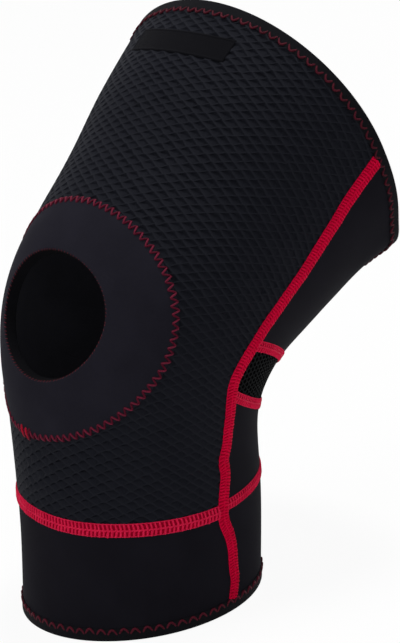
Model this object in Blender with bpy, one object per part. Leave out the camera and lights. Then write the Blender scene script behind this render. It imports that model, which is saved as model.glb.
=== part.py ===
# Pull-on knee sleeve with an open kneecap, in the shape it has on a bent knee.
# Metres, +Z up. The kneecap faces -Y and +X is the outer side of the leg.
# The sleeve stands on its bottom hem, and the leg's axis leaves the floor at the origin.
import math

import bpy
import bmesh
from mathutils import Vector

# Leg form: depth of the outer face in front of and behind the leg's axis, station by station
STATION_STEP = 0.042
HEM_FRONT = 0.0565
HEM_BACK = 0.0560
CALF_FRONT = 0.0505
CALF_BACK = 0.0630
SHIN_TOP_FRONT = 0.0500
SHIN_TOP_BACK = 0.0650
KNEE_FRONT = 0.0618
KNEE_BACK = 0.0660
ABOVE_KNEE_FRONT = 0.0630
ABOVE_KNEE_BACK = 0.0710
THIGH_FRONT = 0.0709
THIGH_BACK = 0.0760
THIGH_TOP_FRONT = 0.0735
THIGH_TOP_BACK = 0.0895
WIDTH_RATIO = 0.98              # section width over section depth

# Leg axis: lean at the hem, then the bend of the knee spread over a length of the axis
HEM_LEAN = math.radians(2.0)
KNEE_BEND = math.radians(57.0)
BEND_START = 0.056
BEND_END = 0.186

# Cut of the sleeve, as lengths along the axis
TOP_AT_FRONT = 0.257
TOP_AT_BACK = 0.2285
FRONT_CROSS_HEIGHT = 0.0498
FRONT_CROSS_RISE = 0.0010       # lift of the front cross seam at the shin
BACK_CROSS_HEIGHT = 0.051
BACK_CROSS_RISE = 0.0015
MESH_TOP_SIDE = 0.1325
MESH_TOP_BACK = 0.148
MESH_BOTTOM_SIDE = 0.1063
MESH_BOTTOM_BACK = 0.0887

# Side seam: angle from the front at each station, and its pull at the cross seam
SEAM_HEM = math.radians(96.5)
SEAM_CALF = math.radians(97.5)
SEAM_SHIN_TOP = math.radians(99.5)
SEAM_KNEE = math.radians(97.0)
SEAM_ABOVE_KNEE = math.radians(101.5)
SEAM_THIGH = math.radians(93.5)
SEAM_THIGH_TOP = math.radians(88.0)
SEAM_PULL = math.radians(2.0)
SEAM_PULL_REACH = 0.020

# Cloth
PANEL_THICK = 0.0040            # foam rubber laminate
MESH_THICK = 0.0016
CLEARANCE = 0.0003              # between sewn layers

# Flatlock seams: two faces joined by the thread through the butt joint
SEAM_WIDTH = 0.0066
SEAM_THICK = 0.0007
SEAM_WEB = 0.0008

# Edge bindings and their zigzag stitch
BINDING_WIDTH = 0.0065
BINDING_THICK = 0.0010
HEM_STITCH_PITCH = 0.0060
HEM_STITCH_WIDTH = 0.0026
HEM_STITCH_INSET = 0.0040       # from the rim to the middle of the stitch
HEM_THREAD = 0.0007

# Kneecap opening and the pad round it, on the flat pattern of the front
KNEECAP_LENGTH = 0.151          # from the hem up the front to the middle of the opening
OPENING_HALF_WIDTH = 0.0336
OPENING_HALF_HEIGHT = 0.0296
PAD_HALF_WIDTH = 0.0676
PAD_HALF_HEIGHT = 0.0581
OVAL_EGG = 0.10                 # share by which both ovals widen to the top and narrow to the bottom
PAD_EDGE_THICK = 0.0007         # pressed flat where it is stitched
PAD_CROWN_THICK = 0.0014
PAD_STITCH_PITCH = 0.0040
PAD_STITCH_WIDTH = 0.0028
PAD_STITCH_INSET = 0.0024
PAD_THREAD = 0.0006
OPENING_STITCH_PITCH = 0.0055
OPENING_STITCH_WIDTH = 0.0012
OPENING_STITCH_INSET = 0.0016
OPENING_THREAD = 0.0005
BARTACK_ANGLE = math.radians(-107.0)
BARTACK_LENGTH = 0.0070
BARTACK_WIDTH = 0.0032
BARTACK_THICK = 0.0008

# Woven label near the top of the front
LABEL_DROP = 0.0252             # from the top rim down the front to the middle of the label
LABEL_SAG = 0.0025              # of its middle under its ends, which follow the cloth
LABEL_WIDTH = 0.059
LABEL_HEIGHT = 0.0130
LABEL_THICK = 0.0007
LABEL_BORDER = 0.0010
LABEL_BORDER_THICK = 0.0011

# Facets
FRONT_UP = 18
CROSS_STEPS = 20
RIM_STEPS = 40
SIDE_STEPS = 24
AXIS_STEP = 0.001
AXIS_RANGE = (-0.030, 0.330)

FRONTS = (HEM_FRONT, CALF_FRONT, SHIN_TOP_FRONT, KNEE_FRONT, ABOVE_KNEE_FRONT, THIGH_FRONT, THIGH_TOP_FRONT)
BACKS = (HEM_BACK, CALF_BACK, SHIN_TOP_BACK, KNEE_BACK, ABOVE_KNEE_BACK, THIGH_BACK, THIGH_TOP_BACK)
SEAMS = (SEAM_HEM, SEAM_CALF, SEAM_SHIN_TOP, SEAM_KNEE, SEAM_ABOVE_KNEE, SEAM_THIGH, SEAM_THIGH_TOP)


def lerp(a, b, t):
    return a + (b - a) * t


def smooth(t):
    t = min(max(t, 0.0), 1.0)
    return t * t * (3.0 - 2.0 * t)


def through(values, s):
    # smooth curve through the stations
    ends = (2 * values[0] - values[1], *values, 2 * values[-1] - values[-2])
    t = s / STATION_STEP
    i = min(max(int(math.floor(t)), 0), len(values) - 2)
    u = t - i
    a, b, c, d = ends[i:i + 4]
    return 0.5 * (2 * b + (c - a) * u + (2 * a - 5 * b + 4 * c - d) * u * u + (3 * b - a - 3 * c + d) * u ** 3)


def lean(s):
    return HEM_LEAN + KNEE_BEND * smooth((s - BEND_START) / (BEND_END - BEND_START))


def half_width(s):
    return WIDTH_RATIO * 0.5 * (through(FRONTS, s) + through(BACKS, s))


# Leg axis by steps, from the hem's centre up and down
AXIS = []
start = round(AXIS_RANGE[0] / AXIS_STEP)
stop = round(AXIS_RANGE[1] / AXIS_STEP)
y = z = 0.0
for k in range(start, stop + 1):
    AXIS.append((y, z))
    middle = lean((k + 0.5) * AXIS_STEP)
    y += math.sin(middle) * AXIS_STEP
    z += math.cos(middle) * AXIS_STEP
AXIS = [(a - AXIS[-start][0], b - AXIS[-start][1]) for a, b in AXIS]


def table(rows, s):
    t = s / AXIS_STEP - start
    k = min(max(int(t), 0), len(rows) - 2)
    return rows[k], rows[k + 1], t - k


def skin(s, v):
    # outer face of the sleeve: s along the axis, v round the leg from the front
    low, high, t = table(AXIS, s)
    depth = -math.cos(v) * (through(FRONTS, s) if math.cos(v) > 0.0 else through(BACKS, s))
    a = lean(s)
    return Vector((half_width(s) * math.sin(v),
                   lerp(low[0], high[0], t) + depth * math.cos(a),
                   lerp(low[1], high[1], t) - depth * math.sin(a)))


def slopes(s, v):
    d, e = AXIS_STEP, 0.01
    return (skin(s + d, v) - skin(s - d, v)) / (2 * d), (skin(s, v + e) - skin(s, v - e)) / (2 * e)


def raised(s, v, height):
    along, across = slopes(s, v)
    return skin(s, v) + across.cross(along).normalized() * height


# Flat pattern of the front: across the leg, and up the front from the middle of the opening
FRONT_RUN = [0.0]
for k in range(start, stop):
    FRONT_RUN.append(FRONT_RUN[-1] + (skin((k + 1) * AXIS_STEP, 0.0) - skin(k * AXIS_STEP, 0.0)).length)


def hem(v):
    s = 0.0
    for k in range(8):
        s -= skin(s, v).z
    return s


def front_run(s):
    low, high, t = table(FRONT_RUN, s)
    return lerp(low, high, t)


RUN_ZERO = front_run(hem(0.0)) + KNEECAP_LENGTH


def to_pattern(s, v):
    return v * half_width(s), front_run(s) - RUN_ZERO


def from_pattern(across, up):
    run = up + RUN_ZERO
    k = max(i for i in range(len(FRONT_RUN) - 1) if FRONT_RUN[i] <= run or i == 0)
    s = (start + k + (run - FRONT_RUN[k]) / (FRONT_RUN[k + 1] - FRONT_RUN[k])) * AXIS_STEP
    return s, across / half_width(s)


# Cut lines
def top(v):
    return lerp(TOP_AT_FRONT, TOP_AT_BACK, 0.5 - 0.5 * math.cos(v))


def front_cross(v):
    return FRONT_CROSS_HEIGHT + FRONT_CROSS_RISE * max(math.cos(v), 0.0)


def back_cross(v):
    return BACK_CROSS_HEIGHT + BACK_CROSS_RISE * max(-math.cos(v), 0.0)


def mesh_line(v, side, back):
    turn = min(max((v - SEAM_KNEE) / (2 * math.pi - 2 * SEAM_KNEE), 0.0), 1.0)
    return lerp(side, back, math.sin(math.pi * turn))


def mesh_top(v):
    return mesh_line(v, MESH_TOP_SIDE, MESH_TOP_BACK)


def mesh_bottom(v):
    return mesh_line(v, MESH_BOTTOM_SIDE, MESH_BOTTOM_BACK)


def seam_angle(s):
    pull = SEAM_PULL * math.exp(-((s - FRONT_CROSS_HEIGHT) / SEAM_PULL_REACH) ** 2)
    return through(SEAMS, s) - pull


def beside_seam(s, distance):
    # angle at a distance from the side seam, towards the back
    v = seam_angle(s)
    return v + distance / slopes(s, v)[1].length


def shifted(line, distance):
    # line moved up the sleeve by a distance on the cloth
    def moved(v):
        s = line(v)
        return s + distance / slopes(s, v)[0].length
    return moved


SEAM_EDGE = 0.5 * SEAM_WEB + 2 * CLEARANCE                  # cloth edge from the middle of a flatlock seam
RIM_EDGE = BINDING_THICK + CLEARANCE                    # cloth edge from a rim
OVER_CLOTH = CLEARANCE                                  # underside of what lies on the cloth
OVER_BINDING = 2 * CLEARANCE + BINDING_THICK
OVER_PAD_EDGE = 2 * CLEARANCE + PAD_EDGE_THICK

hem_edge = shifted(hem, RIM_EDGE)
top_edge = shifted(top, -RIM_EDGE)


def front_left(s):
    return -beside_seam(s, -SEAM_EDGE)


def front_right(s):
    return beside_seam(s, -SEAM_EDGE)


def back_right(s):
    return beside_seam(s, SEAM_EDGE)


def back_left(s):
    return 2 * math.pi - beside_seam(s, SEAM_EDGE)


# Scene
for old in list(bpy.data.objects):
    bpy.data.objects.remove(old)

root = bpy.data.objects.new("knee_sleeve", None)
bpy.context.scene.collection.objects.link(root)


def finish(name, verts, faces, colour, roughness):
    mesh = bpy.data.meshes.new(name)
    mesh.from_pydata(verts, [], faces)
    bm = bmesh.new()
    bm.from_mesh(mesh)
    bmesh.ops.recalc_face_normals(bm, faces=bm.faces)
    bm.to_mesh(mesh)
    bm.free()
    mesh.shade_smooth()
    mesh.set_sharp_from_angle(angle=math.radians(40.0))
    material = bpy.data.materials.new(name)
    material.use_nodes = True
    shader = material.node_tree.nodes["Principled BSDF"]
    shader.inputs["Base Color"].default_value = (*colour, 1.0)
    shader.inputs["Roughness"].default_value = roughness
    shader.inputs["Metallic"].default_value = 0.0
    mesh.materials.append(material)
    piece = bpy.data.objects.new(name, mesh)
    piece.parent = root
    bpy.context.scene.collection.objects.link(piece)
    return piece


def sheet(name, grid, outer, inner, colour, roughness, ring=False):
    # closed sheet of cloth over a grid of (s, v); outer and inner heights per row, or per point
    rows, columns = len(grid), len(grid[0])

    def height(values, i, j):
        value = values[i] if isinstance(values, (list, tuple)) else values
        return value[j] if isinstance(value, (list, tuple)) else value

    verts = [raised(*grid[i][j], height(outer, i, j)) for i in range(rows) for j in range(columns)]
    verts += [raised(*grid[i][j], height(inner, i, j)) for i in range(rows) for j in range(columns)]
    under = rows * columns
    faces = []
    for i in range(rows - 1):
        for j in range(columns if ring else columns - 1):
            a, b = i * columns + j, i * columns + (j + 1) % columns
            c, d = b + columns, a + columns
            faces.append((a, b, c, d))
            faces.append((d + under, c + under, b + under, a + under))
    for i in (0, rows - 1):
        for j in range(columns if ring else columns - 1):
            a, b = i * columns + j, i * columns + (j + 1) % columns
            faces.append((a, b, b + under, a + under) if i else (b, a, a + under, b + under))
    if not ring:
        for j in (0, columns - 1):
            for i in range(rows - 1):
                a, b = i * columns + j, (i + 1) * columns + j
                faces.append((b, a, a + under, b + under) if j else (a, b, b + under, a + under))
    return finish(name, verts, faces, colour, roughness)


def turn(delta):
    return (delta + math.pi) % (2 * math.pi) - math.pi


def strip(name, path, profile, colour, roughness, closed=False, sway=0.0, on_floor=False):
    # profile of (sideways, height) swept along a path of (s, v) on the cloth; sway sets it left and right in turn
    count, sides = len(path), len(profile)
    verts = []
    for i, (s, v) in enumerate(path):
        before = path[i - 1] if i or closed else path[i]
        after = path[(i + 1) % count] if i + 1 < count or closed else path[i]
        along, across = slopes(s, v)
        run = along * (after[0] - before[0]) + across * turn(after[1] - before[1])
        sideways = across.cross(along).cross(run).normalized()
        aa, bb, ab = along.dot(along), across.dot(across), along.dot(across)
        ra, rb = sideways.dot(along), sideways.dot(across)
        whole = aa * bb - ab * ab
        ds, dv = (ra * bb - rb * ab) / whole, (rb * aa - ra * ab) / whole
        shift = sway if i % 2 else -sway
        for side, height in profile:
            point = raised(s + ds * (side + shift), v + dv * (side + shift), height)
            if on_floor and side == 0.0:
                point.z = 0.0
            verts.append(point)
    faces = []
    for i in range(count if closed else count - 1):
        for j in range(sides):
            a, b = i * sides + j, i * sides + (j + 1) % sides
            c, d = (i + 1) % count * sides + (j + 1) % sides, (i + 1) % count * sides + j
            faces.append((a, b, c, d))
    if not closed:
        faces.append(tuple(range(sides))[::-1])
        faces.append(tuple((count - 1) * sides + j for j in range(sides)))
    return finish(name, verts, faces, colour, roughness)


def between(low, high, left, right, across, up):
    # grid of (s, v) between two cut lines and two seam edges
    grid = []
    for i in range(up + 1):
        row = []
        for j in range(across + 1):
            s = 0.5 * (low(math.pi * 0.5) + high(math.pi * 0.5))
            for k in range(8):
                v = lerp(left(s), right(s), j / across)
                s = lerp(low(v), high(v), i / up)
            row.append((s, v))
        grid.append(row)
    return grid


def spaced(curve, step, closed, skip=0.0):
    # points at equal distances along a curve given over 0..1, an even number of steps; skip is left free at each end
    fine = [curve(k / 600) for k in range(601)]
    run = [0.0]
    for a, b in zip(fine, fine[1:]):
        run.append(run[-1] + (skin(*b) - skin(*a)).length)
    length = run[-1] - 2 * skip
    count = 2 * max(round(length / step / 2), 2)
    points = []
    k = 0
    for i in range(count if closed else count + 1):
        wanted = skip + length * i / count
        while run[k + 1] < wanted and k < 599:
            k += 1
        t = (wanted - run[k]) / (run[k + 1] - run[k])
        points.append((lerp(fine[k][0], fine[k + 1][0], t), lerp(fine[k][1], fine[k + 1][1], t)))
    return points


def thread(base, width, pitch, zigzag):
    # thread section of a zigzag, widened so that its slanted legs keep the thread's width
    half = 0.5 * width * math.hypot(0.5 * pitch, zigzag) / (0.5 * pitch)
    return ((half, base), (0.0, base + width), (-half, base))


BLACK_TEXTURED = (0.0060, 0.0072, 0.0092)
BLACK_SMOOTH = (0.0068, 0.0068, 0.0088)
BLACK_PAD = (0.0116, 0.0110, 0.0152)
BLACK_MESH = (0.0040, 0.0040, 0.0048)
BLACK_TRIM = (0.0050, 0.0050, 0.0058)
RED_THREAD = (0.610, 0.0048, 0.0319)
RED_DARK = (0.188, 0.0097, 0.0262)

# Front panel and pad: rays from the opening to the panel's edge share the pad's rings
edge_points = []
low, high = shifted(front_cross, SEAM_EDGE), top_edge
corner = between(low, high, front_left, front_right, CROSS_STEPS, FRONT_UP)
edge_points += corner[0][:-1]
edge_points += [row[-1] for row in corner[:-1]]
edge_points += corner[-1][:0:-1]
edge_points += [row[0] for row in corner[:0:-1]]
edge_points = [to_pattern(*point) for point in edge_points]


def oval(point, width, height):
    # where the ray to a pattern point crosses an oval
    size = math.hypot(point[0] / width, point[1] / height)
    for k in range(12):
        size = math.hypot(point[0] / width / (1 + OVAL_EGG * point[1] / height / size), point[1] / height)
    return point[0] / size, point[1] / size


PAD_RINGS = (0.0, 0.14, 0.44, 0.80, 1.0)
PAD_TOPS = (PAD_EDGE_THICK, PAD_EDGE_THICK, PAD_CROWN_THICK, PAD_EDGE_THICK, PAD_EDGE_THICK)
OUTER_RINGS = (0.25, 0.52, 0.78, 0.94, 1.0)
openings = [oval(point, OPENING_HALF_WIDTH, OPENING_HALF_HEIGHT) for point in edge_points]
pad_edges = [oval(point, PAD_HALF_WIDTH, PAD_HALF_HEIGHT) for point in edge_points]


def rings(inner, outer, steps):
    return [[from_pattern(lerp(a[0], b[0], t), lerp(a[1], b[1], t)) for a, b in zip(inner, outer)] for t in steps]


pad_grid = rings(openings, pad_edges, PAD_RINGS)
sheet("front_panel", pad_grid + rings(pad_edges, edge_points, OUTER_RINGS), 0.0, -PANEL_THICK,
      BLACK_TEXTURED, 0.62, ring=True)
sheet("patella_pad", pad_grid, [OVER_CLOTH + t for t in PAD_TOPS], OVER_CLOTH, BLACK_PAD, 0.70, ring=True)

# Plain panels
grid = between(hem_edge, shifted(front_cross, -SEAM_EDGE), front_left, front_right, CROSS_STEPS, 3)
sheet("front_cuff", grid, 0.0, -PANEL_THICK, BLACK_SMOOTH, 0.68)
grid = between(hem_edge, shifted(back_cross, -SEAM_EDGE), back_right, back_left, CROSS_STEPS, 3)
sheet("back_cuff", grid, 0.0, -PANEL_THICK, BLACK_SMOOTH, 0.68)
grid = between(shifted(back_cross, SEAM_EDGE), shifted(mesh_bottom, -SEAM_EDGE), back_right, back_left, CROSS_STEPS, 4)
sheet("back_calf_panel", grid, 0.0, -PANEL_THICK, BLACK_SMOOTH, 0.68)
grid = between(shifted(mesh_bottom, SEAM_EDGE), shifted(mesh_top, -SEAM_EDGE), back_right, back_left, CROSS_STEPS, 3)
sheet("knee_back_mesh", grid, 0.0, -MESH_THICK, BLACK_MESH, 0.80)
grid = between(shifted(mesh_top, SEAM_EDGE), top_edge, back_right, back_left, CROSS_STEPS, 9)
sheet("back_thigh_panel", grid, 0.0, -PANEL_THICK, BLACK_SMOOTH, 0.68)

# Flatlock seams: a flat face outside and inside, and the thread between the cloth edges
a, b = 0.5 * SEAM_WIDTH, 0.5 * SEAM_WEB
c, d = CLEARANCE, CLEARANCE + SEAM_THICK
e, f = -PANEL_THICK - CLEARANCE, -PANEL_THICK - CLEARANCE - SEAM_THICK
FLATLOCK = ((-a, d), (a, d), (a, c), (b, c), (b, e), (a, e), (a, f), (-a, f), (-a, e), (-b, e), (-b, c), (-a, c))

def crossing(s, line, near, far):
    # sine of how far the side seam and another line are from square where they meet
    v = seam_angle(s)
    along, across = slopes(s, v)
    up = along + across * (seam_angle(s + AXIS_STEP) - seam_angle(s - AXIS_STEP)) / (2 * AXIS_STEP)
    out = across + along * (line(v + far) - line(v + near)) / (far - near)
    return abs(up.normalized().dot(out.normalized()))


def rim_stop(s, line):
    # how far from a rim the side seam stops, below the binding's edge
    skew = crossing(s, line, -0.02, 0.02)
    return (BINDING_WIDTH + 0.5 * SEAM_WIDTH * skew + 2 * CLEARANCE) / math.sqrt(1 - skew * skew)


side_low = hem(SEAM_HEM)
side_low += rim_stop(side_low, hem)
side_high = top(SEAM_THIGH_TOP)
side_high -= rim_stop(side_high, top)
heights = [lerp(side_low, side_high, k / SIDE_STEPS) for k in range(SIDE_STEPS + 1)]
strip("side_seam_outer", [(s, seam_angle(s)) for s in heights], FLATLOCK, RED_THREAD, 0.55)
strip("side_seam_inner", [(s, -seam_angle(s)) for s in heights], FLATLOCK, RED_THREAD, 0.55)


def seam_stop(s, line, inwards):
    # how far from the side seam's middle a cross seam stops
    skew = crossing(s, line, inwards, 2 * inwards)
    return (0.5 * SEAM_WIDTH * (1 + skew) + 2 * CLEARANCE) / math.sqrt(1 - skew * skew)


def cross_path(line, front):
    inwards = -0.05 if front else 0.05
    path = []
    for k in range(CROSS_STEPS + 1):
        v = 0.5 * math.pi
        for n in range(8):
            s = line(v)
            edge = beside_seam(s, math.copysign(seam_stop(s, line, inwards), inwards))
            v = lerp(-edge, edge, k / CROSS_STEPS) if front else lerp(edge, 2 * math.pi - edge, k / CROSS_STEPS)
        path.append((line(v), v))
    return path


strip("front_cross_seam", cross_path(front_cross, True), FLATLOCK, RED_THREAD, 0.55)
strip("back_cross_seam", cross_path(back_cross, False), FLATLOCK, RED_THREAD, 0.55)
strip("mesh_top_seam", cross_path(mesh_top, False), FLATLOCK, RED_THREAD, 0.55)
strip("mesh_bottom_seam", cross_path(mesh_bottom, False), FLATLOCK, RED_THREAD, 0.55)

# Edge bindings, folded over the rims
w, t, g = BINDING_WIDTH, BINDING_THICK, CLEARANCE
FOLD = ((w, g), (w, g + t), (0.6 * t, g + t), (0.0, 0.0), (0.0, -PANEL_THICK),
        (0.6 * t, -PANEL_THICK - g - t), (w, -PANEL_THICK - g - t), (w, -PANEL_THICK - g), (t, -PANEL_THICK - g), (t, g))
angles = [2 * math.pi * k / RIM_STEPS for k in range(RIM_STEPS)]
strip("bottom_binding", [(hem(v), v) for v in angles], FOLD, BLACK_TRIM, 0.60, closed=True, on_floor=True)
strip("top_binding", [(top(v), v) for v in angles], tuple((-x, h) for x, h in FOLD), BLACK_TRIM, 0.60, closed=True)

# Zigzag stitches on the bindings
section = thread(OVER_BINDING, HEM_THREAD, HEM_STITCH_PITCH, HEM_STITCH_WIDTH)
line = shifted(hem, HEM_STITCH_INSET)
path = spaced(lambda k: (line(2 * math.pi * k), 2 * math.pi * k), 0.5 * HEM_STITCH_PITCH, True)
strip("bottom_hem_stitch", path, section, RED_DARK, 0.50, closed=True, sway=0.5 * HEM_STITCH_WIDTH)
line = shifted(top, -HEM_STITCH_INSET)
path = spaced(lambda k: (line(2 * math.pi * k), 2 * math.pi * k), 0.5 * HEM_STITCH_PITCH, True)
strip("top_hem_stitch", path, section, RED_DARK, 0.50, closed=True, sway=0.5 * HEM_STITCH_WIDTH)


# Stitches of the pad, the first one closed by a bartack
def pad_line(width, height):
    def curve(k):
        angle = BARTACK_ANGLE + 2 * math.pi * k
        return from_pattern(width * math.cos(angle) * (1 + OVAL_EGG * math.sin(angle)), height * math.sin(angle))
    return curve


pad_curve = pad_line(PAD_HALF_WIDTH - PAD_STITCH_INSET, PAD_HALF_HEIGHT - PAD_STITCH_INSET)
path = spaced(pad_curve, 0.5 * PAD_STITCH_PITCH, False, 0.5 * BARTACK_LENGTH + CLEARANCE + PAD_THREAD)
section = thread(OVER_PAD_EDGE, PAD_THREAD, PAD_STITCH_PITCH, PAD_STITCH_WIDTH)
strip("pad_edge_stitch", path, section, RED_THREAD, 0.50, sway=0.5 * PAD_STITCH_WIDTH)

around = math.pi * (PAD_HALF_WIDTH + PAD_HALF_HEIGHT - 2 * PAD_STITCH_INSET)
reach = 0.5 * BARTACK_LENGTH / around
path = [pad_curve(lerp(-reach, reach, k / 4)) for k in range(5)]
w, t = 0.5 * BARTACK_WIDTH, OVER_PAD_EDGE + BARTACK_THICK
section = ((w, OVER_PAD_EDGE), (0.7 * w, t), (-0.7 * w, t), (-w, OVER_PAD_EDGE))
strip("pad_bartack", path, section, RED_THREAD, 0.50)

path = spaced(pad_line(OPENING_HALF_WIDTH + OPENING_STITCH_INSET, OPENING_HALF_HEIGHT + OPENING_STITCH_INSET),
              0.5 * OPENING_STITCH_PITCH, True)
section = thread(OVER_PAD_EDGE, OPENING_THREAD, OPENING_STITCH_PITCH, OPENING_STITCH_WIDTH)
strip("opening_edge_stitch", path, section, RED_DARK, 0.50, closed=True, sway=0.5 * OPENING_STITCH_WIDTH)

# Label with a raised border
w, h, rim = 0.5 * LABEL_WIDTH, 0.5 * LABEL_HEIGHT, LABEL_BORDER
steps = [-w, -w + rim, -w + 1.5 * rim, -0.5 * w, 0.0, 0.5 * w, w - 1.5 * rim, w - rim, w]
rises = [-h, -h + rim, -h + 1.5 * rim, h - 1.5 * rim, h - rim, h]
middle = front_run(TOP_AT_FRONT) - RUN_ZERO - LABEL_DROP
grid = [[from_pattern(x, middle + LABEL_SAG * (x / w) ** 2 + r) for x in steps] for r in rises]
tops = [[OVER_CLOTH + (LABEL_BORDER_THICK if abs(x) > w - 1.2 * rim or abs(r) > h - 1.2 * rim else LABEL_THICK)
         for x in steps] for r in rises]
sheet("label_patch", grid, tops, OVER_CLOTH, BLACK_TRIM, 0.65)
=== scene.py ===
import math

import bpy
import bmesh
import numpy as np
from mathutils import Matrix, Vector


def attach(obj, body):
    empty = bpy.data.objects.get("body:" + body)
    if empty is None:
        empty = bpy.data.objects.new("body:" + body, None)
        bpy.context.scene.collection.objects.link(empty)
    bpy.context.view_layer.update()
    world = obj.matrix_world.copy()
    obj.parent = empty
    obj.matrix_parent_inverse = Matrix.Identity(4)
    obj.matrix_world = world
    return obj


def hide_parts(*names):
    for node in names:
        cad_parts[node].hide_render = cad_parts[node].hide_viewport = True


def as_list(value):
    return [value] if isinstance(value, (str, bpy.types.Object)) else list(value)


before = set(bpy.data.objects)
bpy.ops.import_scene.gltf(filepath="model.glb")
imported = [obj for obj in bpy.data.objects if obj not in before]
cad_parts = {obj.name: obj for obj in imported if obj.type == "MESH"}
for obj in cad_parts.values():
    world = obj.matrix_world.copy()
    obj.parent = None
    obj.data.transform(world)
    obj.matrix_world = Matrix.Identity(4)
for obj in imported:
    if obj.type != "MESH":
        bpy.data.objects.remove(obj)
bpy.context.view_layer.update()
print("frame loaded:", len(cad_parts), "solids")

mm = 0.001
circle = 2 * math.pi
scene = bpy.context.scene


# leg form, as in the CAD source: s runs up the leg's axis, v round the leg from the front
legForm = {
    "step": 42 * mm,
    # outer face before and behind the axis, in millimetres, a step apart
    "front": (56.5, 50.5, 50.0, 61.8, 63.0, 70.9, 73.5),
    "back": (56.0, 63.0, 65.0, 66.0, 71.0, 76.0, 89.5),
    "widthShare": 0.98,
    "hemLean": math.radians(2.0),
    "kneeBend": math.radians(57.0),
    "bendFrom": 56 * mm,
    "bendTo": 186 * mm,
    "topFront": 257 * mm,
    "topBack": 228.5 * mm,
    "corner": (0.022, 128.0, 7.0),  # at the back of the top: share out, degrees from the front, spread
    "flat": (0.026, 127.0, 146.0),  # and share in behind it, between these angles
    "cornerFrom": (195 * mm, 232 * mm),  # heights over which both come in
    "axis": (-30, 330),  # millimetres
}
frontDepths = np.array(legForm["front"]) * mm
backDepths = np.array(legForm["back"]) * mm


def lerp(a, b, t):
    return a + (b - a) * t


def smooth(t):
    t = np.clip(t, 0.0, 1.0)
    return t * t * (3.0 - 2.0 * t)


def running(parts):
    return np.concatenate(([0.0], np.cumsum(parts)))


def through(values, s):
    ends = np.concatenate(([2 * values[0] - values[1]], values, [2 * values[-1] - values[-2]]))
    t = np.asarray(s, float) / legForm["step"]
    i = np.clip(np.floor(t).astype(int), 0, len(values) - 2)
    u = t - i
    a, b, c, d = ends[i], ends[i + 1], ends[i + 2], ends[i + 3]
    return 0.5 * (2 * b + (c - a) * u + (2 * a - 5 * b + 4 * c - d) * u**2 + (3 * b - a - 3 * c + d) * u**3)


def lean(s):
    bend = (s - legForm["bendFrom"]) / (legForm["bendTo"] - legForm["bendFrom"])
    return legForm["hemLean"] + legForm["kneeBend"] * smooth(bend)


def halfWidth(s):
    return legForm["widthShare"] * 0.5 * (through(frontDepths, s) + through(backDepths, s))


axisLow, axisHigh = legForm["axis"]
axisSteps = np.arange(axisLow, axisHigh + 1) * mm
middleLean = lean(axisSteps[:-1] + 0.5 * mm)
axisY = running(np.sin(middleLean)) * mm
axisZ = running(np.cos(middleLean)) * mm
axisY -= axisY[-axisLow]
axisZ -= axisZ[-axisLow]
# length that the bend adds at the front
frontBend = running(np.diff(lean(axisSteps)) * through(frontDepths, axisSteps[:-1]))


def backCorner(s, v):
    # the top of the back lies a little flat, between two soft corners
    away = np.degrees(np.arccos(np.cos(v)))
    out, middle, spread = legForm["corner"]
    flat, first, last = legForm["flat"]
    form = out * np.exp(-(((away - middle) / spread) ** 2)) - flat * smooth((away - first) / (last - first))
    low, high = legForm["cornerFrom"]
    return 1 + form * smooth((s - low) / (high - low))


def skin(s, v):
    s, v = np.broadcast_arrays(np.asarray(s, float), np.asarray(v, float))
    ahead = np.cos(v)
    depth = -ahead * np.where(ahead > 0, through(frontDepths, s), through(backDepths, s))
    a = lean(s)
    depth, wide = depth * backCorner(s, v), halfWidth(s) * backCorner(s, v)
    return np.stack([wide * np.sin(v),
                     np.interp(s, axisSteps, axisY) + depth * np.cos(a),
                     np.interp(s, axisSteps, axisZ) - depth * np.sin(a)], -1)


def slopes(s, v):
    # of the skin, up the leg and round it
    up, turn = 1 * mm, 0.01
    return ((skin(s + up, v) - skin(s - up, v)) / (2 * up),
            (skin(s, v + turn) - skin(s, v - turn)) / (2 * turn))


def unit(vectors):
    return vectors / np.linalg.norm(vectors, axis=-1, keepdims=True)


def raised(s, v, height):
    along, across = slopes(s, v)
    return skin(s, v) + unit(np.cross(across, along)) * np.asarray(height, float)[..., None]


def length(vectors):
    return np.linalg.norm(vectors, axis=-1)


cutLines = {
    "frontCross": (49.8 * mm, 1.0 * mm),  # at the sides, and the lift at the shin
    "frontTilt": (2.6 * mm, 20.0, -45.0),  # rise to the inner side, over these degrees
    "backCross": (51 * mm, 1.5 * mm),
    "meshTop": (132.5 * mm, 148 * mm),  # at the side seams, at the back
    "meshBottom": (106.3 * mm, 88.7 * mm),
    "meshEdge": math.radians(97.0),
    "seamGap": 0.03 * mm,  # of a panel from its seam line
    # height in millimetres, degrees from the front
    "sideSeam": (
        (0, 95.0), (7, 95.8), (14, 98.2), (22, 97.6), (29, 98.0), (36, 97.0), (45, 93.6), (52, 94.4),
        (59, 96.0), (66, 97.8), (73, 96.6), (80, 99.3), (88, 99.5), (96, 99.3), (104, 97.6), (112, 96.0),
        (120, 97.0), (135, 99.8), (147, 101.0), (156, 101.8), (166, 101.6), (175, 100.8), (182, 99.7),
        (190, 97.9), (198, 96.3), (205, 94.9), (213, 93.0), (221, 91.8), (229, 90.7), (237, 89.8), (250, 88.6)),
    "seamSoft": 11,  # millimetres that are rounded together
}


def hem(v):
    # where the leg meets the floor
    s = np.zeros_like(np.asarray(v, float))
    for k in range(8):
        s = s - skin(s, v)[..., 2]
    return s


def top(v):
    return lerp(legForm["topFront"], legForm["topBack"], 0.5 - 0.5 * np.cos(v))


def frontCross(v):
    base, rise = cutLines["frontCross"]
    tilt, first, last = cutLines["frontTilt"]
    return base + rise * np.maximum(np.cos(v), 0.0) + tilt * smooth((np.degrees(v) - first) / (last - first))


def backCross(v):
    base, rise = cutLines["backCross"]
    return base + rise * np.maximum(-np.cos(v), 0.0)


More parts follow.
